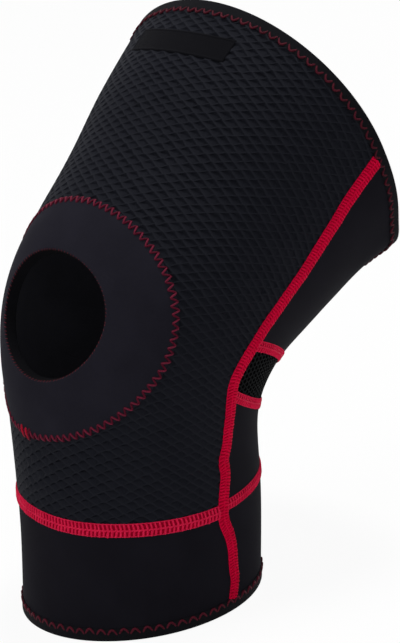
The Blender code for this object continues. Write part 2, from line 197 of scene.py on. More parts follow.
def meshLine(side, back):
    def line(v):
        edge = cutLines["meshEdge"]
        turn = np.clip((v - edge) / (circle - 2 * edge), 0.0, 1.0)
        return lerp(side, back, np.sin(math.pi * turn))
    return line


meshTop, meshBottom = meshLine(*cutLines["meshTop"]), meshLine(*cutLines["meshBottom"])
seamHeights, seamDegrees = np.array(cutLines["sideSeam"], float).T
seamWander = np.interp(axisSteps / mm, seamHeights, np.radians(seamDegrees))
bell = np.hanning(cutLines["seamSoft"])
seamWander = np.convolve(np.pad(seamWander, len(bell) // 2 - 1, "edge"), bell[1:-1] / bell.sum(), "valid")


def seamAngle(s):
    return np.interp(s, axisSteps, seamWander)


def besideSeam(s, distance):
    v = seamAngle(s)
    return v + distance / length(slopes(s, v)[1])


def shifted(line, distance):
    def moved(v):
        s = line(v)
        return s + distance / length(slopes(s, v)[0])
    return moved


def frontRight(s):
    return besideSeam(s, -cutLines["seamGap"])


def frontLeft(s):
    return -frontRight(s)


def backRight(s):
    return besideSeam(s, cutLines["seamGap"])


def backLeft(s):
    return circle - backRight(s)


# cut of the front: across the leg, and up from the middle of the opening
frontCut = {
    "openingUp": 151 * mm,  # up the front from the hem
    "opening": (33.6 * mm, 29.6 * mm),  # half width and half height
    "pad": (66.6 * mm, 57.1 * mm),
    "padStitch": (65.2 * mm, 55.7 * mm),
    "egg": 0.10,  # share by which the ovals widen to the top
    "padLow": (0.085, math.radians(-122), math.radians(28)),  # further reach of the pad, where, spread
}
frontSkin = skin(axisSteps, 0.0)
frontRun = running(length(np.diff(frontSkin, axis=0)))
frontZero = np.interp(hem(0.0), axisSteps, frontRun) + frontCut["openingUp"]


def toPattern(s, v):
    return v * halfWidth(s), np.interp(s, axisSteps, frontRun) - frontZero


def fromPattern(across, up):
    s = np.interp(up + frontZero, frontRun, axisSteps)
    return s, across / halfWidth(s)


def onOval(turn, half):
    return half[0] * np.cos(turn) * (1 + frontCut["egg"] * np.sin(turn)), half[1] * np.sin(turn)


def onPad(turn, half):
    share, middle, spread = frontCut["padLow"]
    away = (turn - middle + math.pi) % circle - math.pi
    low = 1 + share * np.exp(-((away / spread) ** 2))
    across, up = onOval(turn, half)
    return across * low, up * low


def ovalSize(across, up, half):
    # below 1 inside the oval
    size = np.hypot(across / half[0], up / half[1]) + 1e-9
    for k in range(12):
        size = np.hypot(across / half[0] / (1 + frontCut["egg"] * up / half[1] / size), up / half[1]) + 1e-9
    return size


class Wire:
    # a socket of a node tree, with arithmetic
    def __init__(self, tree, socket=None):
        self.tree, self.socket = tree, socket

    def node(self, kind, sockets=None, out=0, **settings):
        made = self.tree.nodes.new(kind)
        for name, value in settings.items():
            setattr(made, name, value)
        for name, value in (sockets or {}).items():
            self.feed(made.inputs[name], value)
        return Wire(self.tree, made.outputs[out] if made.outputs else None)

    def feed(self, inlet, value):
        if isinstance(value, Wire):
            self.tree.links.new(value.socket, inlet)
        elif isinstance(value, (tuple, list)) and inlet.type == "RGBA":
            inlet.default_value = (*value[:3], 1.0)
        else:
            inlet.default_value = value

    def sum(self, operation, *values):
        return self.node("ShaderNodeMath", dict(enumerate(values)), operation=operation)

    def __add__(self, other):
        return self.sum("ADD", self, other)

    def __mul__(self, other):
        return self.sum("MULTIPLY", self, other)

    def __abs__(self):
        return self.sum("ABSOLUTE", self)

    __radd__ = __add__
    __rmul__ = __mul__

    def most(self, other):
        return self.sum("MAXIMUM", self, other)

    def wave(self, pitch):
        return self.sum("SINE", self * (circle / pitch))

    def between(self, low, high, first=0.0, last=1.0):
        return self.node("ShaderNodeMapRange", {0: self, 1: low, 2: high, 3: first, 4: last},
                         interpolation_type="SMOOTHSTEP", clamp=True)

    def blend(self, first, second):
        return self.node("ShaderNodeMix", {0: self, 6: srgb(*first), 7: srgb(*second)}, 2, data_type="RGBA")

    def noise(self, place, size, detail=3.0, roughness=0.55):
        return self.node("ShaderNodeTexNoise", {"Vector": place, "Scale": 1.0 / size, "Detail": detail,
                                                "Roughness": roughness})

    def bump(self, height, depth, strength=1.0, under=None):
        sockets = {"Height": height, "Distance": depth, "Strength": strength}
        if under is not None:
            sockets["Normal"] = under
        return self.node("ShaderNodeBump", sockets)

    def split(self):
        parts = self.node("ShaderNodeSeparateXYZ", {0: self}).socket.node
        return [Wire(self.tree, parts.outputs[k]) for k in range(2)]


def srgb(*levels):
    return tuple(x / 255 / 12.92 if x < 10.32 else ((x / 255 + 0.055) / 1.055) ** 2.4 for x in levels)


def newFinish(name, roughness, specular):
    material = bpy.data.materials.new(name)
    material.use_nodes = True
    shader = material.node_tree.nodes["Principled BSDF"]
    shader.inputs["Roughness"].default_value = roughness
    shader.inputs["Specular IOR Level"].default_value = specular
    return material, Wire(material.node_tree), shader.inputs


def dress(wire, inputs, colour, dull, relief):
    for name, value in (("Base Color", colour), ("Roughness", dull), ("Normal", relief)):
        wire.feed(inputs[name], value)


def newCloth(name, roughness, specular):
    # pattern in millimetres on the cloth
    material, wire, inputs = newFinish(name, roughness, specular)
    place = wire.node("ShaderNodeUVMap", uv_map="cloth")
    return material, wire, inputs, place, *place.split()


def knitBump(x, y, column, row):
    # little slanted loops, row on row
    bow = abs(x.wave(2 * column))
    return bow * 0.6 + (bow * (0.5 * row) + y).wave(row) * 0.4


jerseyLook = {"loop": (0.42, 0.34), "cloud": 26.0, "fine": 1.6, "relief": 0.05 * mm}  # loop: column and row


def jersey(name, dark, light, roughness, specular, loop=jerseyLook["loop"]):
    material, wire, inputs, place, x, y = newCloth(name, roughness, specular)
    cloud = wire.noise(place, jerseyLook["cloud"], 3.0)
    fine = wire.noise(place, jerseyLook["fine"], 4.0, 0.65)
    tone = cloud.between(0.3, 0.7) * 0.55 + fine.between(0.3, 0.75) * 0.45
    dull = fine.between(0.2, 0.8, roughness - 0.06, roughness + 0.08)
    grain = wire.bump(fine, jerseyLook["relief"], 0.6)
    knit = wire.bump(knitBump(x, y, *loop), jerseyLook["relief"], 0.7, grain)
    dress(wire, inputs, tone.blend(dark, light), dull, knit)
    return material


faceLook = {"loop": (0.36, 0.30), "cloud": 30.0, "fine": 0.9, "relief": (0.06 * mm, 0.04 * mm)}


def embossed(name, pit, ridge, roughness, specular):
    # pits dull, ridges a little smoother; the crests are painted lighter and the pits darker, a painted
    # highlight and painted shade
    material, wire, inputs, place, x, y = newCloth(name, roughness, specular)
    height = wire.node("ShaderNodeAttribute", out=2, attribute_name="ridge")
    fine = wire.noise(place, faceLook["fine"], 4.0, 0.65)
    cloud = wire.noise(place, faceLook["cloud"], 2.0)
    # lighter towards the crests by the ridge attribute: painted highlight on the crests, painted shade in the
    # pits
    tone = height.between(0.75, 1.0) * 0.8 + fine.between(0.3, 0.7) * 0.2
    shade = tone * cloud.between(0.25, 0.75, 0.75, 1.0)
    dull = height.between(0.0, 1.0, roughness + 0.1, roughness)
    fineDeep, knitDeep = faceLook["relief"]
    grain = wire.bump(fine, fineDeep, 0.6)
    knit = wire.bump(knitBump(x, y, *faceLook["loop"]), knitDeep, 0.6, grain)
    dress(wire, inputs, shade.blend(pit, ridge), dull, knit)
    return material


threadLook = {"fine": 0.55 * mm, "cloud": 6 * mm, "relief": 0.12 * mm}


def spunThread(name, dark, light, roughness, specular):
    # fine streaks and light flecks
    material, wire, inputs = newFinish(name, roughness, specular)
    place = wire.node("ShaderNodeTexCoord", out=3)  # Object
    fine = wire.noise(place, threadLook["fine"], 3.0, 0.6)
    cloud = wire.noise(place, threadLook["cloud"], 2.0)
    tone = fine.between(0.32, 0.7) * 0.7 + cloud.between(0.3, 0.7) * 0.3
    dull = fine.between(0.2, 0.8, roughness + 0.1, roughness - 0.08)
    dress(wire, inputs, tone.blend(dark, light), dull, wire.bump(fine, threadLook["relief"], 0.8))
    return material


weaveLook = {"fine": 1.2, "weft": 0.8, "relief": (0.05 * mm, 0.06 * mm)}  # weft over rib


def ribbed(name, dark, light, roughness, specular, rib):
    # fine ribs across, and a weft
    material, wire, inputs, place, x, y = newCloth(name, roughness, specular)
    weave = x.wave(rib) * y.wave(rib * weaveLook["weft"])
    fine = wire.noise(place, weaveLook["fine"], 3.0, 0.6)
    tone = (weave * 0.25 + fine).between(0.25, 0.85)
    dull = fine.between(0.2, 0.8, roughness - 0.06, roughness + 0.08)
    fineDeep, weaveDeep = weaveLook["relief"]
    grain = wire.bump(fine, fineDeep, 0.5)
    dress(wire, inputs, tone.blend(dark, light), dull, wire.bump(weave, weaveDeep, 0.8, grain))
    return material


# dark and light in sRGB levels, roughness, specular level
finishes = {
    # face: its dark colour is painted shade in the pits, its light colour a painted highlight on the crests
    "face": embossed("embossed face", (20, 21, 27), (26, 27, 33), 0.70, 0.04),
    "plain": jersey("plain jersey", (17, 16, 21), (23, 22, 28), 0.78, 0.03),
    "lining": jersey("inner lining", (41, 41, 46), (49, 49, 55), 0.85, 0.02),
    # the opening wall is painted near black, darker than the lining it is made of: painted shade inside the
    # opening
    "wall": jersey("opening wall painted shade", (11, 11, 13), (15, 15, 18), 0.85, 0.02),
    "pad": jersey("pad jersey", (25, 24, 31), (32, 31, 39), 0.78, 0.03, (0.5, 0.42)),
    "net": jersey("knit net", (11, 12, 13), (20, 21, 22), 0.80, 0.03),
    # the net ground is near black: painted shade seen through the holes of the open knit
    "netGroundShade": jersey("net ground painted shade", (4, 4, 5), (8, 8, 9), 0.85, 0.02),
    "tape": ribbed("edge tape", (12, 12, 15), (20, 20, 24), 0.72, 0.04, 0.5),
    "label": ribbed("label weave", (11, 11, 14), (15, 15, 19), 0.70, 0.02, 0.6),
    "flatlock": spunThread("flatlock thread", (186, 0, 46), (218, 4, 60), 0.55, 0.03),
    "rungs": spunThread("flatlock rungs", (190, 12, 54), (228, 38, 80), 0.55, 0.04),
    # slots and fill colour the ribbon under the rungs a darker red than the thread: painted shade between and
    # under the rungs
    "slots": spunThread("seam slots painted shade", (128, 0, 28), (156, 0, 36), 0.70, 0.02),
    "fill": spunThread("seam fill painted shade", (152, 0, 36), (180, 0, 44), 0.65, 0.02),
    # the pad zigzag thread and, after it, its darker copy: the darker copy is painted shade on every second leg
    "zigzag": spunThread("pad zigzag thread", (88, 25, 42), (114, 33, 54), 0.55, 0.05),
    "zigzagShadedLegs": spunThread("pad zigzag shaded legs", (62, 10, 26), (84, 18, 36), 0.55, 0.04),
    "bartack": spunThread("bartack thread", (136, 14, 34), (178, 28, 54), 0.55, 0.04),
    "hemThread": spunThread("hem thread", (62, 16, 28), (92, 26, 40), 0.55, 0.05),
    "topThread": spunThread("top hem thread", (54, 14, 24), (80, 22, 34), 0.55, 0.05),
    "rimThread": spunThread("opening thread", (70, 18, 26), (108, 36, 44), 0.50, 0.06),
}
print("finishes ready:", len(finishes))


def placed(name, data):
    thing = bpy.data.objects.new(name, data)
    scene.collection.objects.link(thing)
    return thing


def addPiece(name, bm, materials, nodes):
    for face in bm.faces:
        face.smooth = True
    mesh = bpy.data.meshes.new(name)
    bm.to_mesh(mesh)
    bm.free()
    for material in materials:
        mesh.materials.append(finishes[material])
    piece = placed(name + "_look" if nodes else name, mesh)
    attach(piece, "root")
    if nodes:
        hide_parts(*nodes)
    return piece


clothCut = {
    "thick": 4.0 * mm,
    "slack": 0.94,  # flat area over worn area
    "rim": 1.2 * mm,  # from the edge of a panel to the rim
    "bend": 0.25,  # share of the bend in the run of the knit
    "weld": 0.02 * mm,
}


def gridSheet(columns, rows, place, ring=False, finishAt=None):
    # place(x, y) gives points and cloth in millimetres, finishAt(y) the material
    bm = bmesh.new()
    bmesh.ops.create_grid(bm, x_segments=columns, y_segments=rows, size=0.5)
    flat = np.array([vert.co[:2] for vert in bm.verts]) + 0.5
    points, cloth = place(flat[:, 0], flat[:, 1])
    layer = bm.loops.layers.uv.new("cloth")
    for face in bm.faces:
        if finishAt:
            face.material_index = finishAt(face.calc_center_median().y + 0.5)
        for loop in face.loops:
            loop[layer].uv = cloth[loop.vert.index]
    for vert, point in zip(bm.verts, points):
        vert.co = point
    if ring:
        bmesh.ops.remove_doubles(bm, verts=bm.verts, dist=clothCut["weld"])
    for edge in bm.edges:
        edge.smooth = not edge.is_boundary
    bm.normal_update()
    return bm


def thicken(piece, thick, liner=0):
    wall = piece.modifiers.new("wall", "SOLIDIFY")
    wall.thickness = thick
    wall.offset = -1.0
    wall.material_offset = liner
    wall.use_even_offset = True


def clothSize(s, v):
    # in millimetres, for the knit
    return np.stack([v * halfWidth(s), s + clothCut["bend"] * np.interp(s, axisSteps, frontBend)], -1) / mm


def clothArea(bm):
    return sum(face.calc_area() for face in bm.faces)


def between(low, high, left, right, x, y):
    # x from left to right, y from low to high
    beside = np.array(1.6)  # radians, to start from
    s = np.full_like(x, 0.5 * (low(beside) + high(beside)))
    for k in range(9):
        v = lerp(left(s), right(s), x)
        s = lerp(low(v), high(v), y)
    return s, v


def tucked(line, inwards):
    return shifted(line, inwards * (clothCut["rim"] if line in (hem, top) else cutLines["seamGap"]))


def declareCut(cut, area, seams):
    clothCut["slack"] * area
    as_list(seams)


frontSides, backSides = (frontLeft, frontRight), (backRight, backLeft)
# lower and upper line, sides, grid, flat cut, seams
plainPanels = {
    "front_cuff": (hem, frontCross, frontSides, (120, 34), (0.180, 0.052),
                   ["front_cross_seam", "bottom_binding"]),
    "back_cuff": (hem, backCross, backSides, (120, 34), (0.180, 0.052),
                  ["back_cross_seam", "bottom_binding"]),
    "back_calf_panel": (backCross, meshBottom, backSides, (120, 34), (0.180, 0.056),
                        ["back_cross_seam", "mesh_bottom_seam"]),
    "back_thigh_panel": (meshTop, top, backSides, (130, 70), (0.260, 0.105),
                         ["mesh_top_seam", "top_binding"]),
}
for name, (low, high, sides, grid, cut, seams) in plainPanels.items():
    def layPanel(x, y):
        s, v = between(tucked(low, 1), tucked(high, -1), *sides, x, y)
        return skin(s, v), clothSize(s, v)

    cloth = gridSheet(*grid, layPanel)
    area = clothArea(cloth)
    piece = addPiece(name, cloth, ("plain", "lining"), [name])
    thicken(piece, clothCut["thick"], 1)
    declareCut(cut, area, seams)
    print("panel", name, round(area * 1e4), "cm2")


# front panel: foam and lining, with the opening cut out
frontPanel = {
    "rays": (80, 90, 80, 90),  # along the bottom, right, top and left
    "rings": 56,
    "crowd": 1.15,  # of the rings to the opening, 1 for even
    "hole": 1.0 * mm,
    "sunk": 0.9 * mm,  # for the pits of the face
    "cut": (0.250, 0.270),
    "seams": ["front_cross_seam", "side_seam_outer", "side_seam_inner", "top_binding"],
}


def frontEdge(turn):
    counts = np.array(frontPanel["rays"], float)
    marks = running(counts / counts.sum())
    part = np.clip(np.searchsorted(marks, turn, "right") - 1, 0, 3)
    t = (turn - marks[part]) / (marks[part + 1] - marks[part])
    x = np.choose(part, (t, 1 + 0 * t, 1 - t, 0 * t))
    y = np.choose(part, (0 * t, t, 1 + 0 * t, 1 - t))
    return between(tucked(frontCross, 1), tucked(top, -1), *frontSides, x, y)


def layFront(x, y):
    across, up = toPattern(*frontEdge(x))
    size = ovalSize(across, up, [half + frontPanel["hole"] for half in frontCut["opening"]])
    share = lerp(1 / size, 1.0, y ** frontPanel["crowd"])
    s, v = fromPattern(across * share, up * share)
    return raised(s, v, -frontPanel["sunk"]), clothSize(s, v)


front = gridSheet(sum(frontPanel["rays"]), frontPanel["rings"], layFront, ring=True)
bmesh.ops.reverse_faces(front, faces=front.faces)
frontArea = clothArea(front)
front = addPiece("front_panel", front, ("plain", "lining"), ["front_panel"])
thicken(front, clothCut["thick"] - frontPanel["sunk"], 1)
print("front panel", round(frontArea * 1e4), "cm2")


# embossed face of the front panel: pressed pits, wide diamonds with blunt ends
frontFace = {
    "column": 4.35 * mm,
    "pitch": 4.4 * mm,
    "count": (27, 38),  # to each side of the middle
    "blunt": 0.10,  # half the flat end of a pit, in columns
    "ridge": 0.14 * mm,  # half its flat
    # share of a pit's width and height, rise of its ends and middle
    "floor": (0.76, 0.12, 0.4 * mm, 1.30 * mm),
    "deep": 0.95 * mm,
    "uneven": (0.20 * mm, 0.14),  # spread of the corners, and of the depth as a share
    # degrees from the front, share of the depth
    "worn": ((-26, 0.40), (2, 1.0), (42, 1.0), (75, 0.76)),
    "under": (2.0 * mm, 1.8 * mm, 4.0 * mm),  # edge from the cross seam, the side seams and the top
    # last pits: beyond the edges, behind the side seam, inside the pad
    "last": (1.6 * mm, 2.8 * mm, 4 * mm),
    "pull": 4 * mm,  # corners nearer than this go to the edge
    "lift": (0.30 * mm, 0.03 * mm),  # of the ridges over the foam, and of the edge
    "level": 124 * mm,  # where the rows are level
    "share": (0.5, 0.25),  # of the bend, at the front and all round
}


def faceRun(s, v):
    ahead, even = frontFace["share"]
    return s - frontFace["level"] + (ahead * np.cos(v) + even) * faceBend(s)


def faceBend(s):
    return np.interp(s, axisSteps, frontBend) - np.interp(frontFace["level"], axisSteps, frontBend)


def fromFace(across, up):
    ease, lowest, highest = 0.7, -20 * mm, 300 * mm
    s = frontFace["level"] + up
    for k in range(25):
        v = across / halfWidth(s)
        s = np.clip(s - ease * (faceRun(s, v) - up), lowest, highest)
    return s, across / halfWidth(s)


def copyTo(bm, faces, step):
    copy = bmesh.ops.duplicate(bm, geom=faces)["geom"]
    moved = [item for item in copy if isinstance(item, bmesh.types.BMVert)]
    bmesh.ops.translate(bm, verts=moved, vec=step)


def honeycomb(column, pitch, blunt, columns, rows):
    # six-sided cells in staggered columns
    bm = bmesh.new()
    bmesh.ops.create_circle(bm, cap_ends=True, segments=6, radius=1.0)
    bmesh.ops.rotate(bm, verts=bm.verts, matrix=Matrix.Rotation(math.radians(30), 3, "Z"))
    for vert in bm.verts:
        share = 1 - blunt if abs(vert.co.y) < 0.1 else blunt
        vert.co = (math.copysign(share * column, vert.co.x), round(vert.co.y) * 0.5 * pitch, 0.0)
    if bm.faces[:][0].normal.z < 0:
        bmesh.ops.reverse_faces(bm, faces=bm.faces)
    first = bm.faces[:]
    for j in range(-rows, rows + 1):
        copyTo(bm, first, (0.0, j * pitch, 0.0))
    bmesh.ops.delete(bm, geom=first, context="FACES")
    line = bm.faces[:]
    for i in range(-columns, columns + 1):
        copyTo(bm, line, (i * column, 0.5 * (i % 2) * pitch, 0.0))
    bmesh.ops.delete(bm, geom=line, context="FACES")
    bmesh.ops.remove_doubles(bm, verts=bm.verts, dist=0.02 * column)
    bm.normal_update()
    return bm


def cellMiddles(bm):
    return np.array([cell.calc_center_median()[:2] for cell in bm.faces]).T


def keepCells(bm, inside):
    bmesh.ops.delete(bm, geom=[cell for cell, keep in zip(bm.faces[:], inside) if not keep], context="FACES")


def layCells(bm, flat, points):
    # their flat place stays as the cloth
    layer = bm.loops.layers.uv.new("cloth")
    bm.verts.index_update()
    for vert, point in zip(bm.verts, points):
        vert.co = point
    for cell in bm.faces:
        for loop in cell.loops:
            loop[layer].uv = flat[loop.vert.index][:2] / mm


face = honeycomb(frontFace["column"], frontFace["pitch"], frontFace["blunt"], *frontFace["count"])
s, v = fromFace(*cellMiddles(face))
crossTuck, sideTuck, topTuck = frontFace["under"]
beyond, behind, inPad = frontFace["last"]
low, high = shifted(frontCross, crossTuck), shifted(top, -topTuck)
inside = (s > low(v) - beyond) & (s < high(v) + beyond) & (np.abs(v) < besideSeam(s, behind - sideTuck))
inside &= ovalSize(*toPattern(s, v), [half - inPad for half in frontCut["pad"]]) > 1
keepCells(face, inside)
edgeVerts = [vert for vert in face.verts if vert.is_boundary]
pits = face.faces[:]
draw = np.random.default_rng(51)
stray, uneven = frontFace["uneven"]
for vert, shift in zip(face.verts, draw.normal(0, stray, (len(face.verts), 2))):
    vert.co += Vector((*shift, 0.0))
for k in range(2):  # ridge, then wall of the pit
    bmesh.ops.inset_individual(face, faces=pits, thickness=frontFace["ridge"], use_even_offset=True)
floorWide, floorHigh, endUp, middleUp = frontFace["floor"]
worn = np.interp(np.degrees(v[inside]), *np.array(frontFace["worn"]).T)
for pit, deeper in zip(pits, draw.normal(1, uneven, len(pits)) * worn):
    middle = pit.calc_center_median()
    for vert in pit.verts:
        away = vert.co - middle
        rise = lerp(middleUp, endUp, abs(away.x) / frontFace["column"])
        vert.co = (middle.x + floorWide * away.x, middle.y + floorHigh * away.y + rise,
                   -frontFace["deep"] * deeper)
face.verts.index_update()
flat = np.array([vert.co for vert in face.verts])
s, v = fromFace(flat[:, 0], flat[:, 1])
side = besideSeam(s, -sideTuck)
v = np.clip(v, -side, side)
s = np.clip(s, low(v), high(v))
ridgeLift, edgeLift = frontFace["lift"]
lift = ridgeLift + flat[:, 2]
for vert in edgeVerts:
    # the edge goes under the nearest seam
    k = vert.index
    lift[k] = edgeLift
    gaps = ((side[k] - abs(v[k])) * halfWidth(s[k]), s[k] - low(v[k]), high(v[k]) - s[k])
    nearest = int(np.argmin(gaps))
    if gaps[nearest] < frontFace["pull"]:
        if nearest == 0:
            v[k] = math.copysign(side[k], v[k])
        else:
            s[k] = low(v[k]) if nearest == 1 else high(v[k])
# ridge runs from 1 on the crests to 0 on the pit floors; the face finish uses it for a painted highlight on the
# crests, painted shade in the pits, and for roughness
ridge = face.verts.layers.float.new("ridge")
for vert, depth in zip(face.verts, flat[:, 2] / frontFace["deep"]):
    vert[ridge] = 1.0 + depth
layCells(face, flat, raised(s, v, lift))
facePiece = addPiece("front_panel_face", face, ("face",), [])
declareCut(frontPanel["cut"], frontArea, frontPanel["seams"])
print("embossed face:", len(facePiece.data.polygons), "faces")


# pad round the opening, rolled into it
padForm = {
    "roll": 0.9 * mm,  # radius of the turn into the opening
    "wall": -4.3 * mm,  # its foot
    "rays": 240,
    "rings": 64,
    "parts": (0.12, 0.28),  # where the wall and the roll end, shares of the rings
    "crowd": 0.6,  # of the other rings to the roll, 0 for even
    "dark": 0.17,  # share of the rings with the wall's finish
    "insets": (0.0, 0.15, 1.2, 4.0, 11.0, 20.0, 29.0, 40.0),  # from the outer edge, millimetres
    "heights": (0.02, 0.34, 0.50, 0.72, 1.15, 1.35, 1.20, 1.05),
    # the wall's finish is near black: painted shade inside the opening
    "steps": (161, 13),  # of the inset, and how many are rounded together
    "crisp": 2 * mm,
    "fill": 0.35,
}


def padTop(inset):
    insets, heights = np.array(padForm["insets"]) * mm, np.array(padForm["heights"]) * mm
    count, spread = padForm["steps"]
    grid = np.linspace(0.0, insets[-1], count)
    rough = np.interp(grid, insets, heights)
    soft = np.convolve(np.pad(rough, spread // 2, "edge"), np.ones(spread) / spread, "valid")
    return np.interp(inset, grid, np.where(grid < padForm["crisp"], rough, soft))


def layPad(x, y):
    turn = circle * x
    inner = np.stack(onOval(turn, frontCut["opening"]), -1)
    outer = np.stack(onPad(turn, frontCut["pad"]), -1)
    wide = length(outer - inner)
    roll, crowd = padForm["roll"], padForm["crowd"]
    wallEnd, rollEnd = padForm["parts"]
    turned = np.clip((y - wallEnd) / (rollEnd - wallEnd), 0, 1) * 0.5 * math.pi
    flatPart = np.clip((y - rollEnd) / (1 - rollEnd), 0, 1)
    flatPart = flatPart * flatPart * (1 + crowd - crowd * flatPart) * 0.5 + flatPart * 0.5
    out = np.where(y < rollEnd, roll * (1 - np.cos(turned)), roll + (wide - roll) * flatPart)
    topHere = padTop(wide - np.maximum(out, roll))
    height = np.where(y < wallEnd, lerp(padForm["wall"], padTop(wide - roll) - roll, y / wallEnd),
                      np.where(y < rollEnd, topHere - roll * (1 - np.sin(turned)), topHere))
    spot = inner + (outer - inner) * (out / wide)[:, None]
    s, v = fromPattern(spot[:, 0], spot[:, 1])
    return raised(s, v, height), spot / mm


# the wall rings take the near-black finish, painted shade inside the opening
padPiece = gridSheet(padForm["rays"], padForm["rings"], layPad, ring=True,
                     finishAt=lambda y: int(y < padForm["dark"]))
padPiece = addPiece("patella_pad", padPiece, ("pad", "wall"), ["patella_pad"])
print("pad laid")


# bindings folded over the two rims
binding = {
    "wide": 6.3 * mm,
    "lift": 0.5 * mm,
    "grid": (300, 28),
    "round": 0.3,  # depth of the turn, in its radius
    "side": 0.32,  # share of the grid on each side
    "sink": (0.55, 0.75),  # of the edges: share of the lift, share of the width at the start
    "apart": 20 * mm,  # the two sides in the weave
    "tape": 0.018,
    # rim, direction from it, flat length, what it is sewn on
    "bottom_binding": (hem, 1, 0.335, ["front_cuff", "back_cuff"]),
    "top_binding": (top, -1, 0.500, ["front_panel", "back_thigh_panel"]),
}


def foldProfile(y):
    # distance from the rim and height, from the outer to the inner edge
    wide, lift, thick = binding["wide"], binding["lift"], clothCut["thick"]
    radius = 0.5 * thick + lift
    side = binding["side"]
    turned = np.clip((y - side) / (1 - 2 * side), 0, 1) * math.pi
    out, back = (np.clip(1 - far / side, 0, 1) for far in (y, 1 - y))
    depth = binding["round"] * radius
    distance = depth - depth * np.sin(turned) + (wide - depth) * (out + back)
    height = -0.5 * thick + radius * np.cos(turned)
    sink, start = binding["sink"]
    outSunk, backSunk = (smooth((share - start) / (1 - start)) for share in (out, back))
    return distance, height - lift * sink * (outSunk - backSunk)


rims = {}
for name in ("bottom_binding", "top_binding"):
    line, inwards = binding[name][:2]

    def layRim(x, y):
        v = circle * x
        distance, height = foldProfile(y)
        s = line(v)
        s = s + inwards * distance / length(slopes(s, v)[0])
        points = raised(s, v, height)
        points[:, 2] = np.maximum(points[:, 2], 0.0)
        return points, np.stack([v * halfWidth(s), distance + (y > 0.5) * binding["apart"]], -1) / mm

    rim = gridSheet(*binding["grid"], layRim, ring=True)
    if inwards > 0:
        bmesh.ops.reverse_faces(rim, faces=rim.faces)
    rims[name] = addPiece(name, rim, ("tape",), [name])
print("bindings folded")


# threads: round cords through points
def addThreads(bm, runs, radius):
    # runs: points, share of the radius, material
    curve = bpy.data.curves.new("thread", "CURVE")
    curve.dimensions = "3D"
    curve.bevel_depth = radius
    curve.bevel_resolution = 1
    curve.use_fill_caps = True
    for k in range(1 + max(run[2] for run in runs)):
        curve.materials.append(None)
    for points, share, finish in runs:
        spline = curve.splines.new("POLY")
        spline.points.add(len(points) - 1)
        spline.points.foreach_set("co", np.column_stack([points, np.ones(len(points))]).ravel())
        spline.points.foreach_set("radius", np.broadcast_to(share, (len(points),)).astype(float).copy())
        spline.use_smooth = True
        spline.material_index = finish
    holder = placed("thread", curve)
    bpy.context.view_layer.update()
    mesh = bpy.data.meshes.new_from_object(holder.evaluated_get(bpy.context.evaluated_depsgraph_get()))
    bpy.data.objects.remove(holder)
    bpy.data.curves.remove(curve)
    bm.from_mesh(mesh)
    bpy.data.meshes.remove(mesh)


class Track:
    # a line on the cloth: point(a, b, h) at distance a along it, b to its left, h above
    def __init__(self, s, v, closed=False):
        self.s, self.v, self.closed = np.asarray(s, float), np.asarray(v, float), closed
        self.run = running(length(np.diff(skin(self.s, self.v), axis=0)))
        self.length = self.run[-1]

    def spot(self, a):
        a = np.mod(a, self.length) if self.closed else np.clip(a, 0, self.length)
        return np.interp(a, self.run, self.s), np.interp(a, self.run, self.v)

    def point(self, a, b, h):
        a, b, h = np.broadcast_arrays(*(np.asarray(k, float) for k in (a, b, h)))
        s, v = self.spot(a)
        near = 0.8 * mm
        (sAhead, vAhead), (sBehind, vBehind) = self.spot(a + near), self.spot(a - near)
        ds, dv = sAhead - sBehind, (vAhead - vBehind + math.pi) % circle - math.pi
        along, across = slopes(s, v)
        heading = along * ds[..., None] + across * dv[..., None]
        left = unit(np.cross(np.cross(across, along), heading))
        aa, bb, ab = ((p * q).sum(-1) for p, q in ((along, along), (across, across), (along, across)))
        ra, rb = (left * along).sum(-1), (left * across).sum(-1)
        whole = aa * bb - ab * ab
        return raised(s + b * (ra * bb - rb * ab) / whole, v + b * (rb * aa - ra * ab) / whole, h)


def sewn(name, runs, thread, materials):
    bm = bmesh.new()
    addThreads(bm, runs, 0.5 * thread)
    return addPiece(name, bm, materials, [name])


hemStitch = {
    "pitch": 5.35 * mm,
    "wide": 0.96,  # of an arch, in pitches
    "high": 3.2 * mm,
    "bow": 1.8,  # 1 for straight legs
    "thread": 1.1 * mm,
    "rises": (-0.85, -0.28, -0.06, 0.02, 0.0, 0.02, -0.06, -0.28, -0.85),  # along an arch, in threads
    "inset": 4.3 * mm,
    "dip": (1.7 * mm, math.radians(25)),  # further from the rim at the front of the top
    "jitter": 0.14 * mm,
}
fullTurn = np.linspace(0, circle, 721)


def archRuns(track, side, seed):
    # arches of the hem: feet at the rim, crown on the panel
    count = int(round(track.length / hemStitch["pitch"]))
    steps = np.linspace(-0.5, 0.5, len(hemStitch["rises"]))
    nudge = np.random.default_rng(seed).normal(0, hemStitch["jitter"], (2, count, 1))
    a = (np.arange(count)[:, None] + hemStitch["wide"] * steps) * track.length / count + nudge[0]
    b = side * hemStitch["high"] * (0.5 - np.abs(2 * steps) ** hemStitch["bow"]) + nudge[1]
    points = track.point(a, b, binding["lift"] + np.array(hemStitch["rises"]) * hemStitch["thread"])
    return [(arch, 1.0, 0) for arch in points]


for edge, finish in (("bottom", "hemThread"), ("top", "topThread")):
    line, inwards, around, edges = binding[edge + "_binding"]
    dip, spread = hemStitch["dip"]
    away = np.minimum(fullTurn, circle - fullTurn)
    inset = hemStitch["inset"] + (inwards < 0) * dip * np.exp(-((away / spread) ** 2))
    track = Track(shifted(line, inwards * inset)(fullTurn), fullTurn, closed=True)
    runs = archRuns(track, inwards, 3 + inwards)
    stitch = sewn(edge + "_hem_stitch", runs, hemStitch["thread"], (finish,))
    rims[edge + "_binding"]
print("hem stitches sewn")

